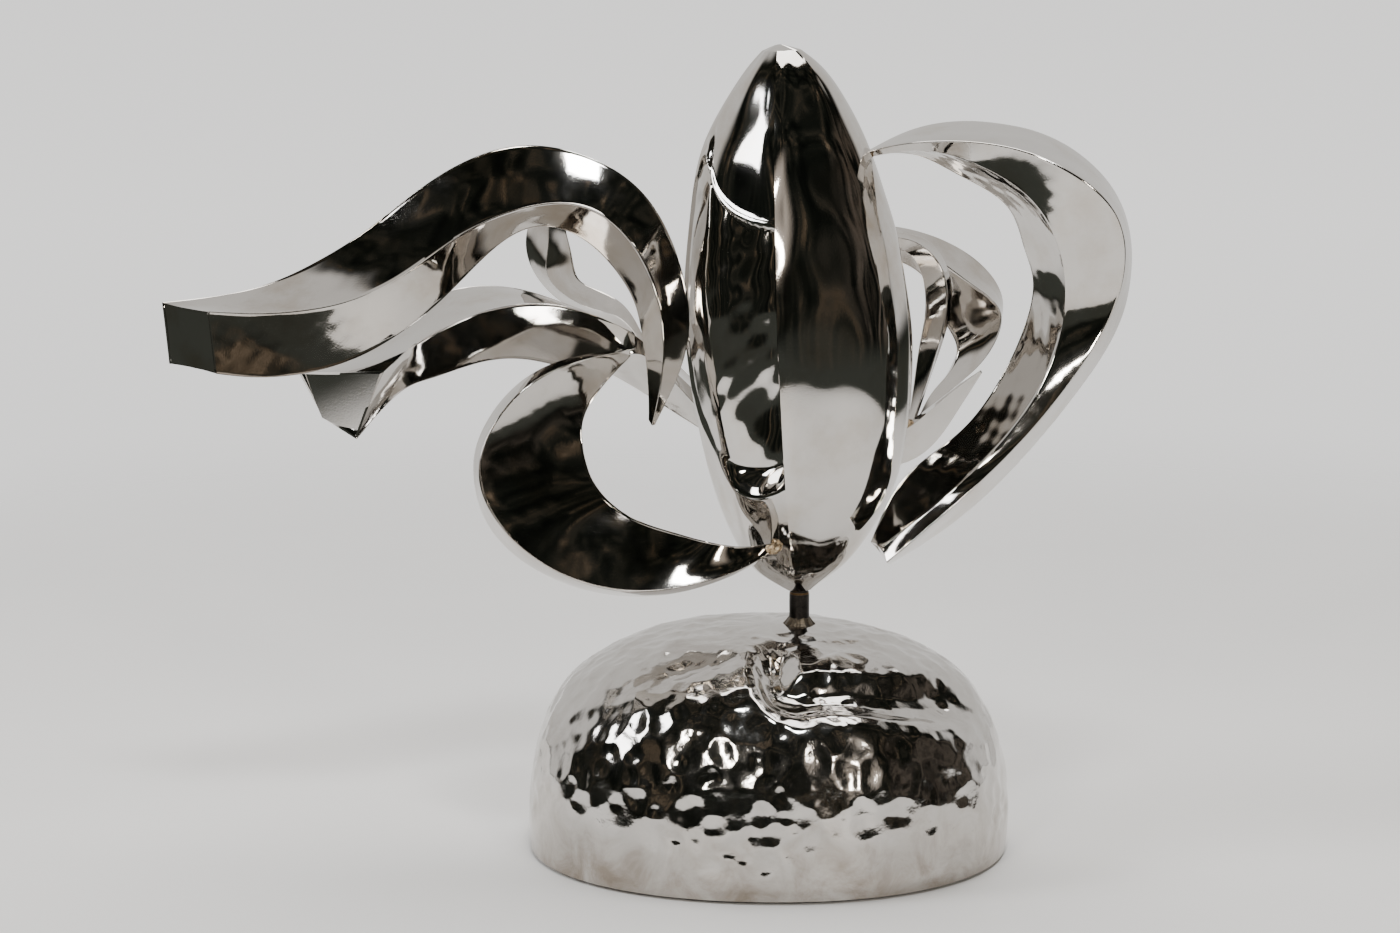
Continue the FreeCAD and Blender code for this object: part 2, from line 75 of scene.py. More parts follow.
HORNS = {
    "upper_horn": [
        [(-345, -20, 309), (-316, -43, 307), (-313, -43, 273)],
        [(-304, -4, 313), (-290, -36, 305), (-290, -37, 270)],
        [(-264, 8, 328), (-249, -28, 309), (-244, -24, 277)],
        [(-234, 12, 347), (-216, -22, 323), (-202, -10, 302)],
        [(-196, 12, 375), (-183, -16, 345), (-175, 8, 327)],
        [(-150, 8, 391), (-148, -12, 359), (-147, 13, 345)],
        [(-99, 2, 377), (-111, -14, 357), (-114, 12, 335)],
        [(-73, -4, 347), (-87, -19, 333), (-94, 6, 311)],
        [(-62, -10, 314), (-77, -24, 307), (-88, -5, 295)],
        [(-63, -16, 279), (-75, -29, 276), (-84, -17, 270)],
        [(-79, -27, 243), (-81, -30, 243), (-83, -27, 246)],
    ],
    "lower_horn": [
        [(-274, -10, 270), (-223, -42, 275), (-241, -22, 234), (-261, -6, 243)],
        [(-250, 4, 276), (-213, -34, 284), (-219, -22, 258), (-250, 2, 259)],
        [(-226, 18, 292), (-205, -26, 289), (-200, -12, 266)],
        [(-195, 26, 309), (-176, -16, 302), (-173, 0, 273)],
        [(-166, 32, 311), (-147, -4, 306), (-148, 12, 272)],
        [(-132, 40, 301), (-117, 6, 300), (-116, 20, 266), (-126, 48, 268)],
        [(-86, 54, 278), (-88, 14, 284), (-90, 10, 276), (-86, 44, 248)],
        [(-46, 74, 241), (-48, 42, 243), (-50, 40, 235), (-48, 62, 221)],
        [(2, 72, 224), (-1, 42, 226), (-2, 42, 213), (0, 62, 201)],
        [(58, 60, 227), (58, 38, 228), (68, 50, 211), (68, 64, 210)],
        [(86, 56, 248), (83, 42, 247), (91, 52, 238)],
        [(103, 50, 261), (102, 47, 261), (103, 49, 259)],
    ],
    "crescent": [
        [(-94, 14, 278), (-91, 10, 279), (-92, 14, 275)],
        [(-129, -2, 275), (-126, -16, 274), (-106, 0, 262)],
        [(-156, -10, 261), (-152, -32, 261), (-117, -8, 247)],
        [(-175, -18, 235), (-170, -42, 237), (-119, -14, 231)],
        [(-178, -22, 212), (-173, -48, 217), (-115, -18, 214)],
        [(-169, -28, 186), (-163, -54, 194), (-103, -24, 199)],
        [(-146, -32, 165), (-140, -60, 174), (-88, -32, 191)],
        [(-110, -36, 152), (-107, -64, 161), (-68, -40, 186)],
        [(-72, -40, 152), (-70, -62, 160), (-47, -48, 182)],
        [(-38, -40, 162), (-37, -52, 167), (-29, -42, 179)],
        [(-13, -30, 174), (-13, -34, 176), (-12, -30, 179)],
    ],
    "right_horn": [
        [(33, 2, 387), (32, -2, 387), (33, 2, 384), (32, 4, 385)],
        [(65, 18, 400), (54, -12, 393), (60, -6, 389), (58, 20, 385)],
        [(109, 14, 402), (97, -30, 395), (90, -22, 384), (84, 10, 375)],
        [(150, 4, 387), (137, -46, 383), (120, -38, 366), (112, 0, 357)],
        [(174, 0, 358), (164, -46, 360), (135, -38, 342), (121, 0, 335)],
        [(180, 2, 324), (171, -38, 331), (140, -33, 320), (126, 0, 315)],
        [(174, 2, 294), (165, -33, 304), (139, -30, 296), (120, 0, 288)],
        [(155, -2, 262), (147, -36, 273), (127, -34, 263), (104, -8, 258)],
        [(121, -10, 221), (114, -42, 233), (101, -40, 229), (81, -12, 232)],
        [(86, -14, 188), (79, -46, 200), (76, -40, 205), (55, -14, 210)],
        [(49, -18, 164), (46, -42, 170), (44, -36, 178), (38, -20, 177)],
    ],
    "slim_leaf": [
        [(28, 38, 338), (32, 28, 336), (30, 38, 328)],
        [(54, 60, 338), (54, 48, 336), (50, 58, 327)],
        [(72, 66, 333), (67, 54, 332), (62, 62, 325)],
        [(83, 70, 321), (79, 56, 321), (70, 66, 312)],
        [(88, 70, 299), (84, 54, 299), (72, 66, 291)],
        [(83, 68, 275), (80, 52, 277), (69, 64, 273)],
        [(74, 66, 248), (72, 54, 250), (66, 63, 251)],
        [(65, 60, 222), (63, 56, 223), (62, 60, 225)],
    ],
    "wide_leaf": [
        [(10, 46, 338), (18, 34, 335), (12, 44, 324)],
        [(54, 90, 338), (56, 74, 334), (50, 86, 320)],
        [(88, 102, 327), (80, 80, 320), (74, 96, 306)],
        [(112, 106, 309), (101, 78, 305), (84, 98, 284)],
        [(120, 104, 291), (116, 74, 290), (92, 94, 269)],
        [(110, 94, 265), (106, 70, 263), (88, 88, 254)],
        [(90, 82, 243), (86, 68, 245), (77, 78, 243)],
        [(68, 68, 218), (66, 64, 219), (65, 68, 221)],
    ],
    "rear_crescent": [
        [(-137, 29, 375), (-129, 20, 371), (-121, 29, 375)],
        [(-141, 56, 361), (-131, 44, 357), (-123, 56, 357)],
        [(-150, 76, 346), (-139, 56, 348), (-131, 74, 341)],
        [(-154, 80, 331), (-140, 54, 331), (-128, 78, 325)],
        [(-149, 82, 311), (-139, 54, 311), (-124, 80, 309)],
        [(-134, 82, 295), (-122, 58, 297), (-114, 80, 303)],
        [(-110, 72, 287), (-103, 56, 291), (-99, 70, 296)],
        [(-88, 48, 275), (-87, 42, 276), (-86, 48, 279)],
    ],
}
SIDES = ("outer", "front", "inner", "back")
# Material, how far each side sinks (+) or swells (-), and length and height of the sheet's unevenness.
HORN_LOOKS = {
    "upper_horn": ("polished_horn", (0.35, 0.25, 0.4, 0.2), 34.0, 0.22),
    "lower_horn": ("polished_steel", (0.3, 0.35, 0.2, 0.2), 34.0, 0.22),
    "crescent": ("polished_horn", (-0.2, 0.7, -0.2, 0.2), 40.0, 0.3),
    "right_horn": ("polished_steel", (-0.2, 0.2, 0.5, 0.2), 36.0, 0.25),
    "slim_leaf": ("polished_horn", (0.2, 0.3, 0.2, 0.2), 26.0, 0.15),
    "wide_leaf": ("polished_horn", (0.2, 0.3, 0.2, 0.2), 26.0, 0.15),
    "rear_crescent": ("polished_horn", (0.2, 0.3, 0.2, 0.2), 26.0, 0.15),
}

# Core: height, reach to the left, reach to the right.
CORE_STATIONS = [
    (0, 7, 7), (5, 15, 14), (14, 26, 26), (28, 34, 38), (49, 42, 51), (72, 48, 59), (115, 55, 66),
    (164, 57, 65), (208, 52, 57), (245, 44, 46), (274, 28, 32), (290, 16, 20), (300, 6, 8),
]
# Reach round the core: degrees, the size it follows and its share of it. The keel is a corner between two
# smooth runs.
CORE_ROUND = [
    (-180, "left", 1.0), (-160, "left", 0.945), (-138, "mean", 0.90), (-118, "mean", 0.925), (-97, "mean", 1.03),
    (-82, "mean", 0.95), (-66, "mean", 0.905), (-36, "right", 0.93), (-18, "right", 0.975), (0, "right", 1.0),
    (45, "mean", 0.92), (90, "mean", 0.84), (135, "mean", 0.88), (180, "left", 1.0),
]
KEEL_ENTRY = 4
# Upper and lower edge of the opening over the hollow: (share of the way to the keel, height).
HOOD_LIP = [
    (0.0, 231), (0.05, 232), (0.09, 237), (0.15, 241), (0.22, 241), (0.30, 236), (0.43, 224), (0.62, 214),
    (0.80, 209), (1.0, 206),
]
FOOT_LIP = [
    (0.0, 108), (0.055, 107), (0.10, 98), (0.20, 86), (0.35, 72), (0.55, 62), (0.75, 60), (0.90, 63), (1.0, 66),
]
# The hollow's sheet starts at this share of the way to the keel and runs between these heights.
RIM_SHARE = 0.055
HOLLOW_FOOT = 48.0
HOLLOW_TOP = 250.0
# Unevenness of the core's sheets and of the hollow: length of its waves and seed.
CORE_WAVE = 42.0
CORE_WAVE_SEED = 5
HOLLOW_WAVE = 17.0
HOLLOW_WAVE_SEED = 8

# Base: height and share of the footprint; footprint: angle and reach from its centre.
BASE_STATIONS = [
    (1.5, 1.0), (22, 1.005), (50, 0.99), (76, 0.93), (98, 0.81), (113, 0.63), (122, 0.42), (126.5, 0.17),
]
BASE_FOOTPRINT = [
    (0, 133), (30, 128), (60, 118), (90, 111), (120, 116), (150, 128),
    (180, 133), (210, 128), (240, 117), (270, 112), (300, 118), (330, 128),
]
BASE_CENTRE = np.array([-17.0, 0.0])
# Crest of the big fold in plan, from beside the post round to the right; heights across it.
FOLD_CREST = [(-27, -30), (-28, -60), (-24, -84), (-8, -94), (14, -91), (50, -82), (84, -60), (108, -24)]
FOLD_PROFILE = [
    (-46, 0), (-24, 0.8), (-9, 2.4), (-2, 2.9), (2, 1.0), (6, -4.0), (11, -6.6), (17, -6.0), (22, -2.0),
    (27, 1.6), (38, 1.6), (56, 0),
]
BASE_SHEET = 2.5
BASE_REACH = 120.0              # a share of the footprint counts as this much along the section
BASE_ROWS = 250
BASE_COLUMNS = 620
BASE_HEART = 40.0               # height inside the base that its skin faces away from
BASE_WAVE = 70.0
BASE_UNEVEN = 0.8
# Hammer dents: how many, their radius and depth.
DIMPLES = 2300
DIMPLE_RADIUS = (4.5, 10.0)
DIMPLE_DEPTH = (0.3, 0.95)
POST_RADIUS = 5.6
# Weld round the foot of the post: height of its seat, points round it, radius and height up its slope.
WELD_SEAT = 125.6
WELD_POINTS = 120
POST_WELD_PROFILE = [
    (5.65, 125.6), (8.8, 125.6), (8.5, 126.4), (7.7, 127.3), (7.0, 128.3), (6.3, 129.4), (5.65, 130.4),
]
# Other welds: name, centre, radii, the CAD node it stands for and the seed of its unevenness.
WELDS = [
    ("crescent_tip_weld", (-15.5, -35, 176), (4.6, 3.4, 2.6), "crescent_weld", 31),
    ("right_tip_weld", (34, -1, 386), (4.2, 3.6, 2.6), "right_horn_weld", 41),
    ("rear_point_weld", (61, 52, 229), (5.0, 4.6, 4.0), "rear_weld", 51),
]

# Paper on the floor, in metres: how far it reaches from the origin, and radius of the whole floor.
PAPER_FRONT = 0.92
PAPER_LEFT = 0.68
PAPER_RIGHT = 0.86
PAPER_ROUND = 1.5
FLOOR_RADIUS = 1.6
FLOOR_POINTS = 96

# What the steel mirrors, as colours of light.
FAR_FLOOR = (0.060, 0.064, 0.054)
WARM_CARD = (0.66, 0.58, 0.50)
BROWN_WALL = (0.13, 0.108, 0.088)
BACKDROP = (0.92, 0.90, 0.87)
PAPER_SWEEP = (0.90, 0.88, 0.85)

# Lamps: place, size, power and colour. All of them face LAMP_AIM.
LAMP_AIM = (-0.05, 0, 0.22)
LAMPS = {
    "window_front_left": ((-1.0, -2.4, 1.3), (0.28, 0.5), 16, (1.0, 0.95, 0.88)),
    "window_front_right": ((0.95, -2.1, 1.0), (0.22, 0.6), 14, (1.0, 0.93, 0.84)),
    "lamp_high": ((0.1, -1.5, 2.5), (0.6, 0.35), 30, (0.95, 0.98, 1.0)),
    "lamp_left": ((-2.4, -0.5, 1.7), (0.8, 1.2), 36, (0.97, 0.98, 1.0)),
    "lamp_above": ((0.2, 0.7, 2.6), (2.0, 1.4), 52, (1.0, 0.98, 0.96)),
}

# Camera: lens and sensor in millimetres, distance and target in metres.
CAMERA_LENS = 85.0
CAMERA_SENSOR = 36.0
CAMERA_PITCH = math.radians(10.5)
CAMERA_DISTANCE = 1.818
CAMERA_TARGET = (-0.055, 0, 0.215)


# ---- curves -------------------------------------------------------------------------------
def natural_spline(places, values, at):
    """Smooth curve through values (rows) at places, read at other places."""
    x = np.asarray(places, float)
    y = np.asarray(values, float)
    if y.ndim == 1:
        y = y[:, None]
    count = len(x)
    step = np.diff(x)
    matrix = np.eye(count)
    right = np.zeros_like(y)
    for i in range(1, count - 1):
        matrix[i, i - 1] = step[i - 1]
        matrix[i, i] = 2 * (step[i - 1] + step[i])
        matrix[i, i + 1] = step[i]
        right[i] = 6 * ((y[i + 1] - y[i]) / step[i] - (y[i] - y[i - 1]) / step[i - 1])
    bend = np.linalg.solve(matrix, right)
    at = np.asarray(at, float)
    k = np.clip(np.searchsorted(x, at) - 1, 0, count - 2)
    h = step[k][:, None]
    a = ((x[k + 1] - at)[:, None]) / h
    b = 1 - a
    return a * y[k] + b * y[k + 1] + ((a**3 - a) * bend[k] + (b**3 - b) * bend[k + 1]) * h**2 / 6


def read_curve(points, at):
    """Height of an edge given by points, read smoothly between them."""
    x = np.array([p[0] for p in points], float)
    y = np.array([p[1] for p in points], float)
    slope = np.gradient(y, x)
    k = np.clip(np.searchsorted(x, at) - 1, 0, len(x) - 2)
    h = x[k + 1] - x[k]
    t = np.clip((at - x[k]) / h, 0, 1)
    start = (2 * t**3 - 3 * t**2 + 1) * y[k] + (t**3 - 2 * t**2 + t) * h * slope[k]
    return start + (-2 * t**3 + 3 * t**2) * y[k + 1] + (t**3 - t**2) * h * slope[k + 1]


def ripple(points, wave, seed):
    """Gentle unevenness of hand-worked sheet, about -1 to 1, from a few crossed waves."""
    rng = np.random.default_rng(seed)
    total = np.zeros(points.shape[:-1])
    for i in range(7):
        direction = rng.normal(size=3)
        direction /= np.linalg.norm(direction)
        length = wave * rng.uniform(0.6, 1.7)
        phase = rng.uniform(0, 2 * math.pi)
        warp = 0.8 * np.sin(points @ rng.normal(size=3) / wave * 1.3 + phase)
        total += np.sin(points @ direction * (2 * math.pi / length) + phase + warp)
    return total / 4.0


# ---- meshes -------------------------------------------------------------------------------
def normals_of(grid):
    """Normal of a surface grid at each of its points."""
    along = np.gradient(grid, axis=0)
    across = np.gradient(grid, axis=1)
    normal = np.cross(along, across)
    length = np.linalg.norm(normal, axis=-1, keepdims=True)
    return normal / np.maximum(length, 1e-9)


def outward_normals(grid):
    """Normals of a grid round the core's axis, all pointing away from it."""
    normal = normals_of(grid)
    if (normal[..., :2] * grid[..., :2]).sum() < 0:
        normal = -normal
    return normal


def mesh_object(name, verts, faces, material, sharp=35.0):
    """A smooth-shaded mesh from points in millimetres, its seams kept sharp."""
    mesh = bpy.data.meshes.new(name)
    mesh.from_pydata((np.asarray(verts) * MM).tolist(), [], faces)
    mesh.validate()
    mesh.update()
    for polygon in mesh.polygons:
        polygon.use_smooth = True
    mesh.set_sharp_from_angle(angle=math.radians(sharp))
    mesh.materials.append(material)
    piece = bpy.data.objects.new(name, mesh)
    bpy.context.collection.objects.link(piece)
    return piece


def sheet_object(name, outer, inner, material):
    """A closed sheet between two grids of the same size, its edges walled."""
    rows, columns = outer.shape[:2]
    count = rows * columns
    verts = np.concatenate([outer.reshape(-1, 3), inner.reshape(-1, 3)])
    index = np.arange(count).reshape(rows, columns)
    a, b, c, d = index[:-1, :-1], index[1:, :-1], index[1:, 1:], index[:-1, 1:]
    front = np.stack([a, b, c, d], -1).reshape(-1, 4)
    back = np.stack([d, c, b, a], -1).reshape(-1, 4) + count
    rim = np.concatenate([index[:, 0], index[-1, 1:], index[-2::-1, -1], index[0, -2:0:-1]])
    after = np.roll(rim, -1)
    wall = np.stack([after, rim, rim + count, after + count], -1)
    faces = np.concatenate([front, back, wall])
    middle = (rows // 2, columns // 2)
    if normals_of(outer)[middle] @ (outer[middle] - inner[middle]) < 0:
        faces = faces[:, ::-1]
    return mesh_object(name, verts, faces.tolist(), material)


def take_over(piece, body, node):
    """The piece rides on its body and stands for a CAD node."""
    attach(piece, body)
    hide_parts(node)


# ---- horns --------------------------------------------------------------------------------
def horn_corners(rows):
    """Four corners of each section; a missing fourth closes the parallelogram."""
    sections = []
    for row in rows:
        corners = [np.array(point, float) for point in row]
        if len(corners) == 3:
            corners.append(corners[0] + corners[2] - corners[1])
        sections.append(corners)
    return np.array(sections)


def inner_corners(corners):
    """The sections inside the sheet, as in the CAD."""
    inside = np.zeros_like(corners)
    for i, section in enumerate(corners):
        size = min(np.linalg.norm(section[k] - section[k - 1]) for k in range(4))
        wall = min(SHEET, 0.2 * size)
        for k in range(4):
            before = section[k - 1] - section[k]
            after = section[(k + 1) % 4] - section[k]
            before /= np.linalg.norm(before)
            after /= np.linalg.norm(after)
            spread = max(np.linalg.norm(np.cross(before, after)), 0.35)
            inside[i, k] = section[k] + (before + after) * (wall / spread)
    return inside


def horn_rails(rows):
    """The four outer and four inner seams of a horn."""
    corners = horn_corners(rows)
    steps = np.linalg.norm(np.diff(corners.mean(axis=1), axis=0), axis=1)
    places = np.concatenate([[0], np.cumsum(steps)])
    places /= places[-1]
    at = np.linspace(0, 1, int(max(60, steps.sum() / STRIP_STEP)))
    inside = inner_corners(corners)
    outer = [natural_spline(places, corners[:, k], at) for k in range(4)]
    inner = [natural_spline(places, inside[:, k], at) for k in range(4)]
    return outer, inner


def side_profile(outer, k):
    """Points across one side of a horn, from the middle of one rounded seam to the next."""
    n, before, after = (k + 1) % 4, (k - 1) % 4, (k + 2) % 4
    q, r = outer[k], outer[n]
    length = np.linalg.norm(r - q, axis=1, keepdims=True)
    back_q = outer[before] - q
    back_q /= np.maximum(np.linalg.norm(back_q, axis=1, keepdims=True), 1e-6)
    back_r = outer[after] - r
    back_r /= np.maximum(np.linalg.norm(back_r, axis=1, keepdims=True), 1e-6)
    along = (r - q) / np.maximum(length, 1e-6)
    d = np.minimum(SEAM_EDGE, 0.2 * length)
    columns = []
    for t in SEAM_STEPS:
        columns.append(q + (1 - t) ** 2 * d * back_q + t**2 * d * along)
    for t in np.linspace(0, 1, STRIP_POINTS):
        columns.append(q + along * (d + t * (length - 2 * d)))
    for t in reversed(SEAM_STEPS):
        columns.append(r + (1 - t) ** 2 * d * back_r - t**2 * d * along)
    return np.stack(columns, axis=1)


def horn_sides(name, material, hollow, wave, uneven):
    """The four strips of a horn; hollow says how far each side sinks (+) or swells (-)."""
    outer, inner = horn_rails(HORNS[name])
    for k, side in enumerate(SIDES):
        grid = side_profile(outer, k)
        normal = normals_of(grid)
        away = grid.mean(axis=1) - np.mean(outer, axis=0)
        normal *= np.median(np.sign((normal[:, grid.shape[1] // 2] * away).sum(axis=1)))
        width = np.linalg.norm(grid[:, -1] - grid[:, 0], axis=1)[:, None, None]
        crown = (1 - np.linspace(-1, 1, grid.shape[1]) ** 2)[None, :, None]
        narrow = np.minimum(width / FULL_WIDTH, 1.0)
        beaten = 0.14 if side == "inner" else 0.03
        lift = -hollow[k] * width * crown * STRIP_CROWN
        lift = lift + uneven * crown * narrow * ripple(grid, wave, 11 + k)[..., None]
        lift = lift + beaten * np.sqrt(crown) * narrow * ripple(grid, BEATEN_WAVE, 71 + k)[..., None]
        share = np.linalg.norm(grid - grid[:, :1], axis=2) / np.maximum(width[..., 0], 1e-6)
        share = np.clip(share, 0, 1)[..., None]
        a, b = inner[k][:, None, :], inner[(k + 1) % 4][:, None, :]
        under = a + (b - a) * share + normal * np.minimum(lift, 0.0)
        piece = sheet_object(f"{name}_{side}_sheet", grid + normal * lift, under, material)
        take_over(piece, "sculpture", f"{name}_{side}")


# ---- core ---------------------------------------------------------------------------------
def core_sizes(heights):
    """Reach to the left and right at any height, smooth through the stations."""
    table = np.array(CORE_STATIONS, float)
    places = np.concatenate([[0], np.cumsum(np.linalg.norm(np.diff(table, axis=0), axis=1))])
    fine = np.linspace(0, places[-1], 900)
    curve = natural_spline(places, table, fine)
    order = np.argsort(curve[:, 0])
    left = np.interp(heights, curve[order, 0], curve[order, 1])
    right = np.interp(heights, curve[order, 0], curve[order, 2])
    close = np.sqrt(np.clip((CORE_HEIGHT - heights) / APEX_ROUND, 0, 1))
    close = np.where(heights > CORE_HEIGHT - APEX_ROUND, close, 1.0)
    return left * close, right * close


def core_reach(angles, left, right):
    """Reach at angles (degrees) for arrays of sizes of the same shape."""
    sizes = {"left": left, "mean": (left + right) / 2, "right": right}
    turns = np.array([entry[0] for entry in CORE_ROUND], float)
    reaches = np.stack([share * sizes[size] for _, size, share in CORE_ROUND])
    out = np.zeros(angles.shape)
    for first, last in ((0, KEEL_ENTRY), (KEEL_ENTRY, len(CORE_ROUND) - 1)):
        x = turns[first:last + 1]
        where = (angles >= x[0] - 1e-6) & (angles <= x[-1] + 1e-6)
        basis = natural_spline(x, np.eye(len(x)), np.clip(angles[where], x[0], x[-1]))
        out[where] = (basis.T * reaches[first:last + 1][:, where]).sum(axis=0)
    return out


def core_frame(points):
    """From the core's own axis to the sculpture's frame."""
    c, s = math.cos(CORE_TILT), math.sin(CORE_TILT)
    x = points[..., 0] * c - points[..., 2] * s
    z = points[..., 0] * s + points[..., 2] * c + CORE_BOTTOM
    return np.stack([x, points[..., 1], z], axis=-1)


def core_grid(angles, heights):
    """Grid over the core; angles and heights are arrays of the same shape."""
    left, right = core_sizes(heights)
    reach = core_reach(angles, left, right)
    turn = np.radians(angles)
    return np.stack([reach * np.cos(turn), reach * np.sin(turn), heights], axis=-1)


def core_sheet(name, first, last, columns, material, uneven, node):
    """A leaf of the core between two turns, over its whole height, calm along its edges."""
    outer = core_grid(*full_grid(first, last, LEAF_ROWS, columns))
    normal = outward_normals(outer)
    u = np.linspace(-1, 1, outer.shape[1])[None, :]
    v = np.linspace(-1, 1, outer.shape[0])[:, None]
    calm = np.clip(6 * (1 - np.abs(u)), 0, 1) * np.clip(6 * (1 - np.abs(v)), 0, 1)
    outer = outer + normal * (uneven * calm * ripple(outer, CORE_WAVE, CORE_WAVE_SEED))[..., None]
    inner = outer - normal * CORE_SHEET
    piece = sheet_object(name, core_frame(outer), core_frame(inner), material)
    take_over(piece, "sculpture", node)


def even_heights(count):
    """Heights that crowd towards both ends of the core, where it curves most."""
    turn = np.linspace(0, math.pi, count)
    return CORE_HEIGHT * (0.5 - 0.5 * np.cos(turn)) * TIP_SHARE


def full_grid(first, last, rows, columns):
    """Angles and heights of a leaf that runs the core's whole height."""
    heights = even_heights(rows)[:, None] + np.zeros((1, columns))
    angles = np.linspace(first, last, columns)[None, :] + np.zeros((rows, 1))
    return angles, heights


def smooth(values, low, high):
    """Soft step from 0 at low to 1 at high."""
    t = np.clip((values - low) / (high - low), 0, 1)
    return t * t * (3 - 2 * t)


def hollow_depth(share, heights):
    """How far the left front is sunk: a soft rim, deepest beside the keel, under the hood's lip."""
    below_lip = smooth(read_curve(HOOD_LIP, share) - heights, 0.0, 3.2)
    above_foot = smooth(heights - read_curve(FOOT_LIP, share), -1.0, 13.0)
    away_from_rim = smooth(share, 0.30, 0.60)
    trough = smooth(share, 0.42, 0.84) * (1 - smooth(share, 0.90, 0.995))
    upright = smooth(heights, 58.0, 118.0)
    tucked = 1.3 * smooth(share, 0.0, 0.06) + 3.9 * smooth(share, 0.30, 0.58)
    depth = tucked + 1.4 * away_from_rim + (5.0 + 11.0 * upright) * trough
    return depth * below_lip * above_foot


def lip_bead(share, heights):
    """The thickened edge along the hood's lip, with one wrinkle and one crease above its left end."""
    away = heights - read_curve(HOOD_LIP, share)
    bead = 1.1 * np.exp(-((away - 2.2) / 2.0) ** 2)
    slant = 60 * (share - 0.16)
    near_wrinkle = np.exp(-((share - 0.22) / 0.10) ** 2)
    wrinkle = 1.3 * np.exp(-((away - 9.0 + slant) / 3.0) ** 2) * near_wrinkle
    crease = -1.2 * np.exp(-((away - 13.0 + slant) / 2.6) ** 2) * near_wrinkle
    return bead * smooth(share, 0.04, 0.12) + wrinkle + crease


def build_core(material):
    core_sheet("core_front_leaf_sheet", KEEL_TURN, RIDGE_TURN, 70, material, 0.35, "core_front_leaf")
    core_sheet("core_side_sheet_skin", RIDGE_TURN, SIDE_TURN, 90, material, 0.3, "core_side_sheet")
    core_sheet("core_back_sheet_skin", SIDE_TURN, BACK_TURN, 70, material, 0.3, "core_back_sheet")


def build_left_front(material):
    """Hood, left rim, foot and hollow: one worked sheet surface, parted along its weld lines."""
    rows, columns = FRONT_GRID
    angles, heights = full_grid(LEFT_TURN, KEEL_TURN, rows, columns)
    share = (angles - LEFT_TURN) / (KEEL_TURN - LEFT_TURN)
    outer = core_grid(angles, heights)
    normal = outward_normals(outer)
    depth = hollow_depth(share, heights)
    inside = np.clip(depth / 4.0, 0, 1)
    worked = 0.3 * ripple(outer, CORE_WAVE, CORE_WAVE_SEED)
    worked = worked + 0.35 * inside * ripple(outer, HOLLOW_WAVE, HOLLOW_WAVE_SEED)
    calm = np.clip(10 * share, 0, 1) * np.clip(10 * (1 - share), 0, 1)
    height_calm = np.clip((CORE_HEIGHT - heights) / 20, 0, 1) * np.clip(heights / 20, 0, 1)
    lift = (worked * calm + lip_bead(share, heights)) * height_calm - depth
    shaped = outer + normal * lift[..., None]
    under = shaped - normal * CORE_SHEET
    top = int(np.searchsorted(heights[:, 0], HOLLOW_TOP))
    low = int(np.searchsorted(heights[:, 0], HOLLOW_FOOT))
    rim = int(columns * RIM_SHARE)
    for name, row_cut, column_cut, node in (
        ("core_hood_sheet", slice(top, rows), slice(0, columns), "core_hood"),
        ("core_foot_sheet", slice(0, low + 1), slice(0, columns), "core_left_rim"),
        ("core_rim_sheet", slice(low, top + 1), slice(0, rim + 1), "core_left_rim"),
        ("core_hollow_skin", slice(low, top + 1), slice(rim, columns), "core_hollow_sheet"),
    ):
        front = core_frame(shaped[row_cut, column_cut])
        back = core_frame(under[row_cut, column_cut])
        take_over(sheet_object(name, front, back, material), "sculpture", node)


# ---- base ---------------------------------------------------------------------------------
def base_surface(turn, share_along):
    """Points of the smooth base shell; turn in degrees, share_along 0 at the rim to 1 at the top."""
    table = np.array(BASE_STATIONS, float)
    step = np.diff(table * np.array([1, BASE_REACH]), axis=0)
    places = np.concatenate([[0], np.cumsum(np.linalg.norm(step, axis=1))])
    at = natural_spline(places / places[-1], table, share_along)
    foot = np.array(BASE_FOOTPRINT, float)
    angle = np.concatenate([foot[-3:, 0] - 360, foot[:, 0], foot[:3, 0] + 360])
    reach = np.concatenate([foot[-3:, 1], foot[:, 1], foot[:3, 1]])
    radius = natural_spline(angle, reach, turn)[:, 0]
    rad = np.radians(turn)
    spread = radius[None, :] * at[:, 1:2]
    x = BASE_CENTRE[0] + spread * np.cos(rad)[None, :]
    y = BASE_CENTRE[1] + spread * np.sin(rad)[None, :]
    z = np.broadcast_to(at[:, 0:1], x.shape)
    return np.stack([x, y, z], axis=-1)


def dimple_field(points):
    """Ball-peen marks: round dents that overlap, shallow and few in the smoother lower band."""
    rng = np.random.default_rng(21)
    flat = points.reshape(-1, 3)
    depth = np.zeros(len(flat))
    for centre in flat[rng.integers(0, len(flat), DIMPLES)]:
        size = rng.uniform(*DIMPLE_RADIUS)
        deep = rng.uniform(*DIMPLE_DEPTH)
        if centre[2] < 30 + 12 * math.sin(centre[0] / 23.0):
            deep *= 0.12
        if centre[1] > 20:
            deep *= 0.6
        near = np.flatnonzero(np.abs(flat - centre).max(axis=1) < size)
        away = ((flat[near] - centre) ** 2).sum(axis=1) / size**2
        dent = deep * np.clip(1 - away, 0, 1) ** 1.3
        depth[near] = np.maximum(depth[near], dent) * 0.75 + 0.25 * (depth[near] + dent)
    return depth.reshape(points.shape[:2])


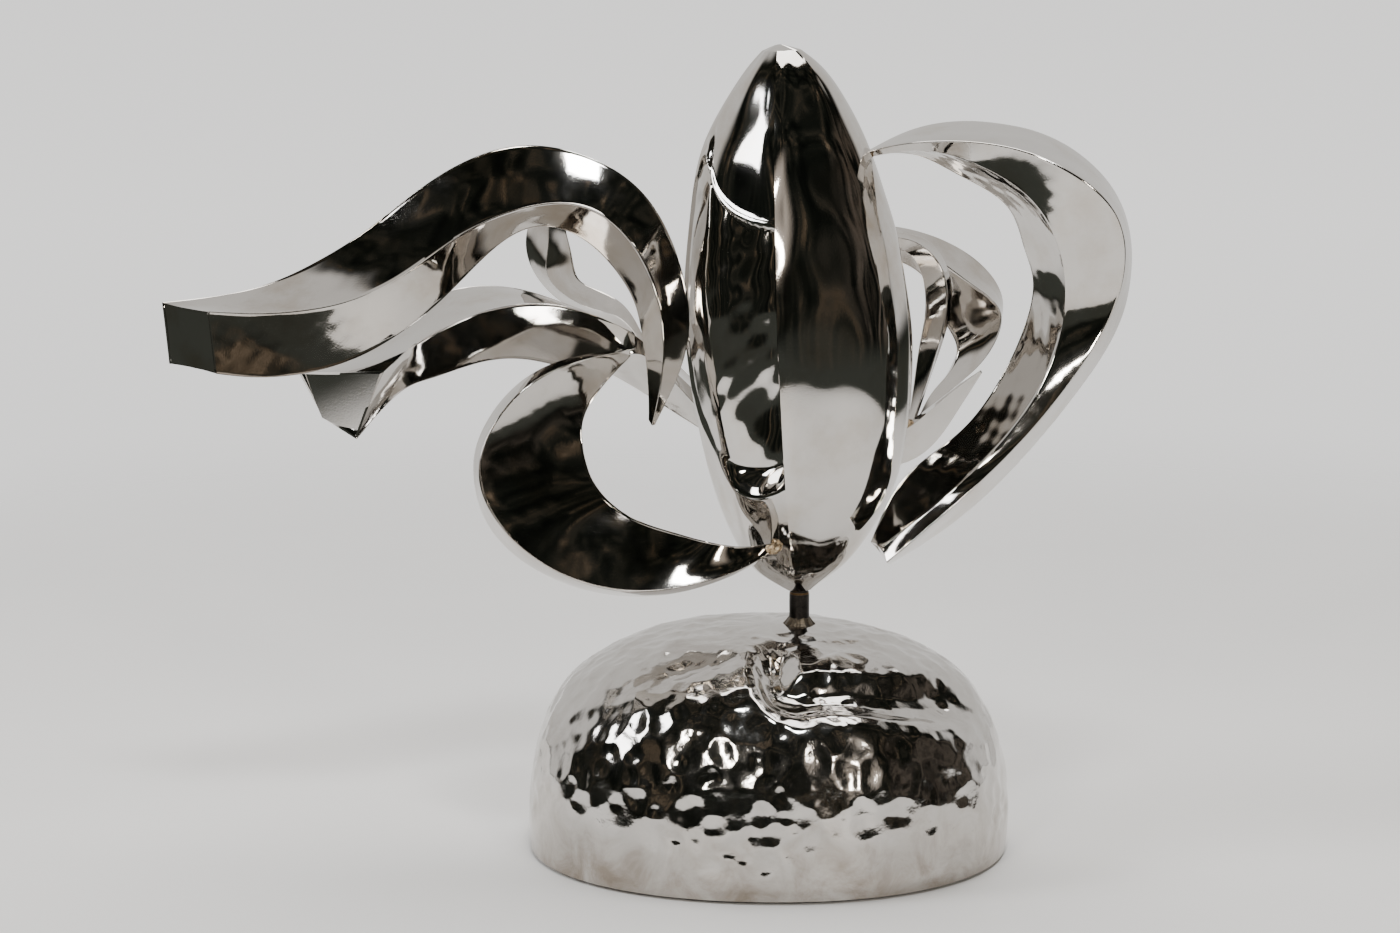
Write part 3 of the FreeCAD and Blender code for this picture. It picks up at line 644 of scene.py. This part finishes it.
def crest_distance(points):
    """Plan distance to the fold's crest, positive on the side of the post, and place along it."""
    crest = np.array(FOLD_CREST, float)
    path = natural_spline(np.linspace(0, 1, len(crest)), crest, np.linspace(0, 1, 160))
    flat = points[..., :2].reshape(-1, 2)
    best = np.full(len(flat), 1e9)
    side = np.zeros(len(flat))
    place = np.zeros(len(flat))
    heading = np.gradient(path, axis=0)
    for i in range(len(path)):
        away = flat - path[i]
        distance = np.hypot(away[:, 0], away[:, 1])
        closer = distance < best
        best = np.where(closer, distance, best)
        turn = heading[i, 0] * away[:, 1] - heading[i, 1] * away[:, 0]
        side = np.where(closer, np.sign(turn), side)
        place = np.where(closer, i / (len(path) - 1), place)
    shape = points.shape[:-1]
    return (best * side).reshape(shape), place.reshape(shape)


def base_folds(points):
    """How far the big folds sink (+) or swell (-): an S-shaped crest with a shelf behind it."""
    x, y = points[..., 0], points[..., 1]
    away, place = crest_distance(points)
    at = np.array([p[0] for p in FOLD_PROFILE], float)
    rise = np.array([p[1] for p in FOLD_PROFILE], float)
    profile = np.interp(away, at, rise)
    ends = smooth(place, 0.0, 0.16) * (1 - smooth(place, 0.86, 1.0))
    near_front = smooth(-y, -6.0, 16.0)
    dent = 3.2 * np.exp(-(((x + 58) / 26) ** 2 + ((y + 55) / 9) ** 2))
    swell = -2.6 * np.exp(-(((x + 62) / 44) ** 2 + ((y + 82) / 16) ** 2))
    return -profile * ends * near_front + dent + swell


def soften(field, times):
    """Rounds a field off along both directions of the base's grid."""
    for _ in range(times):
        around = (np.roll(field, 1, axis=1) + np.roll(field, -1, axis=1)) / 2
        padded = np.concatenate([field[:1], field, field[-1:]])
        beside = (padded[:-2] + padded[2:]) / 2
        field = 0.4 * field + 0.3 * around + 0.3 * beside
    return field


def base_faces(rows, columns):
    """Faces of the closed shell: skin, lining, rim, and a fan over the middle of each."""
    count = rows * columns
    index = np.arange(count).reshape(rows, columns)
    after = np.roll(index, -1, axis=1)
    skin = np.stack([index[:-1], after[:-1], after[1:], index[1:]], -1).reshape(-1, 4)
    lining = skin[:, ::-1] + count
    rim = np.stack([after[0], index[0], index[0] + count, after[0] + count], -1)
    last, following = index[-1].tolist(), after[-1].tolist()
    crown = [[a, b, 2 * count] for a, b in zip(last, following)]
    ceiling = [[b + count, a + count, 2 * count + 1] for a, b in zip(last, following)]
    return np.concatenate([skin, lining, rim]).tolist() + crown + ceiling


def build_base(material):
    """The hammered shell, dented and folded, open underneath."""
    turns = np.linspace(0, 360, BASE_COLUMNS, endpoint=False)
    grid = base_surface(turns, np.linspace(0, 1, BASE_ROWS))
    wrapped = np.concatenate([grid[:, -1:], grid, grid[:, :1]], axis=1)
    normal = normals_of(wrapped)[:, 1:-1]
    if (normal * (grid - np.array([*BASE_CENTRE, BASE_HEART]))).sum() < 0:
        normal = -normal
    near_post = np.clip((np.hypot(grid[..., 0], grid[..., 1]) - 10) / 14, 0, 1)
    near_rim = np.clip((grid[..., 2] - 2) / 6, 0, 1)
    depth = (soften(dimple_field(grid), 2) + soften(base_folds(grid), 6)) * near_post * near_rim
    depth = depth - BASE_UNEVEN * ripple(grid, BASE_WAVE, 3) * near_post * near_rim
    outer = grid - normal * depth[..., None]
    inner = grid - normal * (BASE_SHEET + np.maximum(depth, 0))[..., None]
    top = outer[-1].mean(axis=0) + [0, 0, 0.3]
    verts = np.concatenate([outer.reshape(-1, 3), inner.reshape(-1, 3), [top, top - [0, 0, BASE_SHEET]]])
    piece = mesh_object("base_hammered_shell", verts, base_faces(BASE_ROWS, BASE_COLUMNS), material, 60.0)
    take_over(piece, "base", "base_shell")


# ---- welds --------------------------------------------------------------------------------
def weld_lump(name, centre, radii, node, seed, material):
    """A small uneven weld bead."""
    shape = bmesh.new()
    bmesh.ops.create_icosphere(shape, subdivisions=5, radius=1.0)
    around = np.array([vert.co[:] for vert in shape.verts])
    uneven = 1 + 0.16 * ripple(around, 1.1, seed) + 0.05 * ripple(around, 0.35, seed + 1)
    verts = np.array(centre) + around * uneven[:, None] * np.array(radii)
    faces = [[vert.index for vert in face.verts] for face in shape.faces]
    shape.free()
    piece = mesh_object(name, verts, faces, material, 60.0)
    take_over(piece, "sculpture", node)


def post_weld(material):
    """The rough flared weld round the foot of the post."""
    rows = []
    for i in range(WELD_POINTS):
        turn = 2 * math.pi * i / WELD_POINTS
        rag = 1 + 0.13 * math.sin(5 * turn + 0.6) + 0.10 * math.sin(9 * turn) + 0.07 * math.sin(17 * turn + 2)
        ring = []
        for radius, height in POST_WELD_PROFILE:
            reach = POST_RADIUS + (radius - POST_RADIUS) * rag
            rise = (height - WELD_SEAT) * (0.6 + 0.4 * rag)
            ring.append((reach * math.cos(turn), reach * math.sin(turn), WELD_SEAT + rise))
        rows.append(ring)
    size = len(POST_WELD_PROFILE)
    index = np.arange(WELD_POINTS * size).reshape(WELD_POINTS, size)
    after = np.roll(index, -1, axis=0)
    beside = np.roll(index, -1, axis=1)
    corner = np.roll(after, -1, axis=1)
    faces = np.stack([after, corner, beside, index], -1).reshape(-1, 4)
    verts = np.array(rows).reshape(-1, 3)
    piece = mesh_object("post_foot_weld", verts, faces.tolist(), material, 60.0)
    take_over(piece, "base", "post_weld")


def build_welds(golden, burnt):
    for name, centre, radii, node, seed in WELDS:
        weld_lump(name, centre, radii, node, seed, golden)
    post_weld(burnt)


# ---- materials ----------------------------------------------------------------------------
def new_material(name):
    """A node material with its tree and its shader."""
    material = bpy.data.materials.new(name)
    material.use_nodes = True
    tree = material.node_tree
    return material, tree, tree.nodes["Principled BSDF"]


def noise(tree, scale, detail, rough=0.5, distortion=0.0):
    """Noise in the piece's own coordinates, scaled per metre."""
    place = tree.nodes.new("ShaderNodeTexCoord")
    node = tree.nodes.new("ShaderNodeTexNoise")
    node.inputs["Scale"].default_value = scale
    node.inputs["Detail"].default_value = detail
    node.inputs["Roughness"].default_value = rough
    node.inputs["Distortion"].default_value = distortion
    tree.links.new(place.outputs["Object"], node.inputs["Vector"])
    return node


def ramp(tree, source, stops):
    """Colour ramp over a value, from (position, colour) stops."""
    node = tree.nodes.new("ShaderNodeValToRGB")
    elements = node.color_ramp.elements
    while len(elements) < len(stops):
        elements.new(0.5)
    for element, (place, colour) in zip(elements, stops):
        element.position = place
        element.color = (*colour, 1)
    tree.links.new(source, node.inputs["Fac"])
    return node


def roughen(tree, shader, source, stops):
    """Roughness from a noise, as (position, roughness) stops."""
    rough = ramp(tree, source, [(place, (value,) * 3) for place, value in stops])
    tree.links.new(rough.outputs["Color"], shader.inputs["Roughness"])


def bump_up(tree, shader, source, strength, distance):
    """Fine relief from a noise."""
    bump = tree.nodes.new("ShaderNodeBump")
    bump.inputs["Strength"].default_value = strength
    bump.inputs["Distance"].default_value = distance
    tree.links.new(source, bump.inputs["Height"])
    tree.links.new(bump.outputs["Normal"], shader.inputs["Normal"])


def polished_steel(name, tint, stain):
    """Mirror-polished stainless with faint clouding, a fine buffing grain and brown handling marks."""
    material, tree, shader = new_material(name)
    shader.inputs["Metallic"].default_value = 1.0
    cloud = noise(tree, 26.0, 6.0, 0.6)
    browner = (1.0, 0.94, 0.86)
    colour = ramp(tree, cloud.outputs["Fac"], [
        (0.30, tuple(c * (1 - 0.45 * stain) * w for c, w in zip(tint, browner))),
        (0.52, tint),
        (0.75, tuple(c * 1.05 for c in tint)),
    ])
    tree.links.new(colour.outputs["Color"], shader.inputs["Base Color"])
    smear = noise(tree, 60.0, 8.0, 0.65, 0.4)
    roughen(tree, shader, smear.outputs["Fac"], [(0.3, 0.035), (0.62, 0.07), (0.85, 0.16)])
    bump_up(tree, shader, noise(tree, 900.0, 4.0).outputs["Fac"], 0.05, 0.0002)
    return material


def hammered_steel():
    """Polished over hammer marks, duller and browner near the rim."""
    material, tree, shader = new_material("hammered_polished_steel")
    shader.inputs["Metallic"].default_value = 1.0
    place = tree.nodes.new("ShaderNodeTexCoord")
    split = tree.nodes.new("ShaderNodeSeparateXYZ")
    tree.links.new(place.outputs["Object"], split.inputs["Vector"])
    height = tree.nodes.new("ShaderNodeMapRange")
    height.inputs["From Min"].default_value = 0.0
    height.inputs["From Max"].default_value = 0.05
    tree.links.new(split.outputs["Z"], height.inputs["Value"])
    stains = noise(tree, 38.0, 7.0, 0.68, 0.6)
    brown = ramp(tree, stains.outputs["Fac"], [
        (0.32, (0.27, 0.225, 0.18)), (0.48, (0.42, 0.38, 0.34)), (0.62, (0.54, 0.515, 0.485)),
    ])
    clean = ramp(tree, stains.outputs["Fac"], [
        (0.28, (0.44, 0.41, 0.375)), (0.5, (0.56, 0.54, 0.515)), (0.8, (0.62, 0.60, 0.58)),
    ])
    blend = tree.nodes.new("ShaderNodeMix")
    blend.data_type = "RGBA"
    tree.links.new(height.outputs["Result"], blend.inputs["Factor"])
    tree.links.new(brown.outputs["Color"], blend.inputs["A"])
    tree.links.new(clean.outputs["Color"], blend.inputs["B"])
    tree.links.new(blend.outputs["Result"], shader.inputs["Base Color"])
    smear = noise(tree, 90.0, 8.0, 0.7, 0.3)
    roughen(tree, shader, smear.outputs["Fac"], [(0.3, 0.05), (0.6, 0.11), (0.85, 0.24)])
    bump_up(tree, shader, noise(tree, 420.0, 5.0).outputs["Fac"], 0.25, 0.0003)
    return material


def worked_metal(name, dark, light, rough_low, rough_high, scale=140.0, metallic=1.0):
    """Plain metal with mottled colour and uneven roughness, for the post, welds and hidden parts."""
    material, tree, shader = new_material(name)
    shader.inputs["Metallic"].default_value = metallic
    mottle = noise(tree, scale, 8.0, 0.7, 0.3)
    colour = ramp(tree, mottle.outputs["Fac"], [(0.32, dark), (0.68, light)])
    tree.links.new(colour.outputs["Color"], shader.inputs["Base Color"])
    roughen(tree, shader, mottle.outputs["Fac"], [(0.3, rough_low), (0.7, rough_high)])
    bump_up(tree, shader, mottle.outputs["Fac"], 0.4, 0.0004)
    return material


def dress_cad_nodes(materials):
    """CAD nodes that stay in view or inside take the material of their record slot."""
    slots = {entry["node"]: entry["material_slot"] for entry in frame["record"]["subparts"]}
    for name, node in frame["nodes"].items():
        material = materials[slots[name]]
        for place in node.material_slots:
            place.material = material
        if not node.material_slots:
            node.data.materials.append(material)


# ---- surroundings -------------------------------------------------------------------------
def build_floor():
    """Pale paper on the floor: it ends softly in front and at both sides, and fades out far behind."""
    material, tree, shader = new_material("pale_floor")
    shader.inputs["Roughness"].default_value = 0.6
    place = tree.nodes.new("ShaderNodeTexCoord")
    paper = noise(tree, 3.0, 5.0)
    colour = ramp(tree, paper.outputs["Fac"], [(0.3, (0.80, 0.79, 0.775)), (0.7, (0.84, 0.83, 0.815))])
    tree.links.new(colour.outputs["Color"], shader.inputs["Base Color"])
    split = tree.nodes.new("ShaderNodeSeparateXYZ")
    tree.links.new(place.outputs["Object"], split.inputs["Vector"])
    length = tree.nodes.new("ShaderNodeVectorMath")
    length.operation = "LENGTH"
    tree.links.new(place.outputs["Object"], length.inputs[0])
    shown = fade(tree, length.outputs["Value"], PAPER_ROUND, 0.7)
    for source, low, high in (
        (split.outputs["Y"], -PAPER_FRONT - 0.04, -PAPER_FRONT + 0.04),
        (split.outputs["X"], -PAPER_LEFT - 0.05, -PAPER_LEFT + 0.05),
        (split.outputs["X"], PAPER_RIGHT + 0.05, PAPER_RIGHT - 0.05),
    ):
        shown = overlap(tree, shown, fade(tree, source, low, high))
    tree.links.new(shown, shader.inputs["Alpha"])
    turns = [2 * math.pi * i / FLOOR_POINTS for i in range(FLOOR_POINTS)]
    ring = [(FLOOR_RADIUS * math.cos(turn), FLOOR_RADIUS * math.sin(turn), 0) for turn in turns]
    mesh = bpy.data.meshes.new("pale_floor")
    mesh.from_pydata(ring, [], [list(range(FLOOR_POINTS))])
    mesh.materials.append(material)
    floor = bpy.data.objects.new("pale_floor", mesh)
    bpy.context.collection.objects.link(floor)
    floor.location = (0, 0, -0.0005)


def fade(tree, source, low, high):
    """Soft step of a shader value between two limits; the limits may run downwards."""
    node = tree.nodes.new("ShaderNodeMapRange")
    node.interpolation_type = "SMOOTHSTEP"
    node.inputs["From Min"].default_value = min(low, high)
    node.inputs["From Max"].default_value = max(low, high)
    node.inputs["To Min"].default_value = 0.0 if low < high else 1.0
    node.inputs["To Max"].default_value = 1.0 if low < high else 0.0
    tree.links.new(source, node.inputs["Value"])
    return node.outputs["Result"]


def overlap(tree, mask, *others):
    """Product of masks: 1 only where all of them are 1."""
    for other in others:
        node = tree.nodes.new("ShaderNodeMath")
        node.operation = "MULTIPLY"
        tree.links.new(mask, node.inputs[0])
        tree.links.new(other, node.inputs[1])
        mask = node.outputs["Value"]
    return mask


def lay_over(tree, below, mask, colour):
    """Puts a plain colour over what is below where the mask is 1."""
    node = tree.nodes.new("ShaderNodeMix")
    node.data_type = "RGBA"
    tree.links.new(mask, node.inputs["Factor"])
    tree.links.new(below, node.inputs["A"])
    node.inputs["B"].default_value = (*colour, 1)
    return node.outputs["Result"]


def build_world():
    """Pale backdrop for the eye; the steel mirrors a dark workshop in front and pale paper behind."""
    world = bpy.data.worlds.new("studio")
    bpy.context.scene.world = world
    world.use_nodes = True
    tree = world.node_tree
    tree.nodes.clear()
    out = tree.nodes.new("ShaderNodeOutputWorld")
    place = tree.nodes.new("ShaderNodeTexCoord")
    split = tree.nodes.new("ShaderNodeSeparateXYZ")
    tree.links.new(place.outputs["Generated"], split.inputs["Vector"])
    x, y, z = (split.outputs[axis] for axis in "XYZ")
    stretch = tree.nodes.new("ShaderNodeMapping")
    stretch.inputs["Scale"].default_value = (7.0, 7.0, 1.6)
    tree.links.new(place.outputs["Generated"], stretch.inputs["Vector"])
    clutter = tree.nodes.new("ShaderNodeTexNoise")
    clutter.inputs["Scale"].default_value = 1.6
    clutter.inputs["Detail"].default_value = 7.0
    clutter.inputs["Roughness"].default_value = 0.62
    tree.links.new(stretch.outputs["Vector"], clutter.inputs["Vector"])
    room = ramp(tree, clutter.outputs["Fac"], [
        (0.36, (0.004, 0.005, 0.004)), (0.50, (0.012, 0.014, 0.011)), (0.58, (0.035, 0.034, 0.026)),
        (0.64, (0.10, 0.075, 0.05)), (0.72, (0.34, 0.26, 0.18)),
    ]).outputs["Color"]
    colour = lay_over(tree, room, fade(tree, z, -0.05, -0.16), FAR_FLOOR)
    card_width = overlap(tree, fade(tree, x, 0.26, 0.36), fade(tree, x, 0.62, 0.48))
    card_height = overlap(tree, fade(tree, z, 0.10, 0.22), fade(tree, z, 0.60, 0.42))
    card = overlap(tree, card_width, card_height, fade(tree, y, 0.0, -0.3))
    colour = lay_over(tree, colour, card, WARM_CARD)
    streaks = fade(tree, clutter.outputs["Fac"], 0.40, 0.60)
    beside = overlap(tree, fade(tree, x, 0.78, 0.90), fade(tree, z, -0.12, 0.0), streaks)
    colour = lay_over(tree, colour, beside, BROWN_WALL)
    behind = overlap(tree, fade(tree, y, 0.24, 0.44), fade(tree, z, -0.10, -0.02))
    colour = lay_over(tree, colour, behind, BACKDROP)
    sweep = overlap(tree, fade(tree, x, -0.62, -0.52), fade(tree, x, 0.62, 0.52), fade(tree, y, 0.2, 0.4))
    colour = lay_over(tree, colour, sweep, PAPER_SWEEP)
    mirrored = tree.nodes.new("ShaderNodeBackground")
    tree.links.new(colour, mirrored.inputs["Color"])
    mirrored.inputs["Strength"].default_value = 1.0
    tone = ramp(tree, fade(tree, z, -0.40, 0.15), [
        (0.0, (1.14, 1.13, 1.115)), (0.55, (1.32, 1.305, 1.285)), (1.0, (1.12, 1.105, 1.09)),
    ])
    seen = tree.nodes.new("ShaderNodeBackground")
    tree.links.new(tone.outputs["Color"], seen.inputs["Color"])
    seen.inputs["Strength"].default_value = 1.0
    path = tree.nodes.new("ShaderNodeLightPath")
    choose = tree.nodes.new("ShaderNodeMixShader")
    tree.links.new(path.outputs["Is Camera Ray"], choose.inputs["Fac"])
    tree.links.new(mirrored.outputs["Background"], choose.inputs[1])
    tree.links.new(seen.outputs["Background"], choose.inputs[2])
    tree.links.new(choose.outputs["Shader"], out.inputs["Surface"])


def add_lamp(name, place, size, power, colour):
    """A soft rectangular lamp turned towards the sculpture."""
    data = bpy.data.lights.new(name, "AREA")
    data.shape = "RECTANGLE"
    data.size, data.size_y = size
    data.energy = power
    data.color = colour
    lamp = bpy.data.objects.new(name, data)
    bpy.context.collection.objects.link(lamp)
    lamp.location = place
    lamp.rotation_euler = (Vector(LAMP_AIM) - Vector(place)).to_track_quat("-Z", "Y").to_euler()


def build_camera():
    """A long lens a little above the sculpture, looking along +Y and slightly down."""
    data = bpy.data.cameras.new("camera")
    data.lens = CAMERA_LENS
    data.sensor_width = CAMERA_SENSOR
    camera = bpy.data.objects.new("camera", data)
    bpy.context.collection.objects.link(camera)
    back = Vector((0, -math.cos(CAMERA_PITCH), math.sin(CAMERA_PITCH)))
    camera.location = Vector(CAMERA_TARGET) + back * CAMERA_DISTANCE
    camera.rotation_euler = (math.pi / 2 - CAMERA_PITCH, 0, 0)
    bpy.context.scene.camera = camera


def main():
    materials = {
        "polished_steel": polished_steel("polished_sheet_steel", (0.585, 0.565, 0.54), 0.35),
        "polished_horn": polished_steel("polished_horn_steel", (0.54, 0.515, 0.485), 0.5),
        "hammered_steel": hammered_steel(),
        "plain_steel": worked_metal("plain_mill_steel", (0.30, 0.30, 0.30), (0.5, 0.5, 0.5), 0.3, 0.5),
        "dark_spindle": worked_metal("blackened_post_steel", (0.012, 0.011, 0.010), (0.05, 0.045, 0.04), 0.22, 0.5),
        "weld_metal": worked_metal("heat_tinted_weld", (0.20, 0.12, 0.05), (0.62, 0.50, 0.34), 0.18, 0.45, 420.0),
        "bronze": worked_metal("bush_bronze", (0.05, 0.035, 0.02), (0.16, 0.10, 0.05), 0.3, 0.5),
        # Felt under the base's rim; its near-black colour also paints the shadow line where the rim meets the
        # floor.
        "felt": worked_metal("felt_painted_contact_shadow", (0.010, 0.010, 0.010), (0.05, 0.05, 0.05), 0.9, 1.0, 900.0, 0.0),
    }
    dress_cad_nodes(materials)
    for name, (look, hollow, wave, uneven) in HORN_LOOKS.items():
        horn_sides(name, materials[look], hollow, wave, uneven)
    build_core(materials["polished_steel"])
    build_left_front(materials["polished_steel"])
    build_base(materials["hammered_steel"])
    burnt = worked_metal("burnt_weld", (0.03, 0.025, 0.02), (0.22, 0.18, 0.13), 0.3, 0.6, 380.0)
    build_welds(materials["weld_metal"], burnt)
    build_floor()
    build_world()
    for name, settings in LAMPS.items():
        add_lamp(name, *settings)
    build_camera()


main()
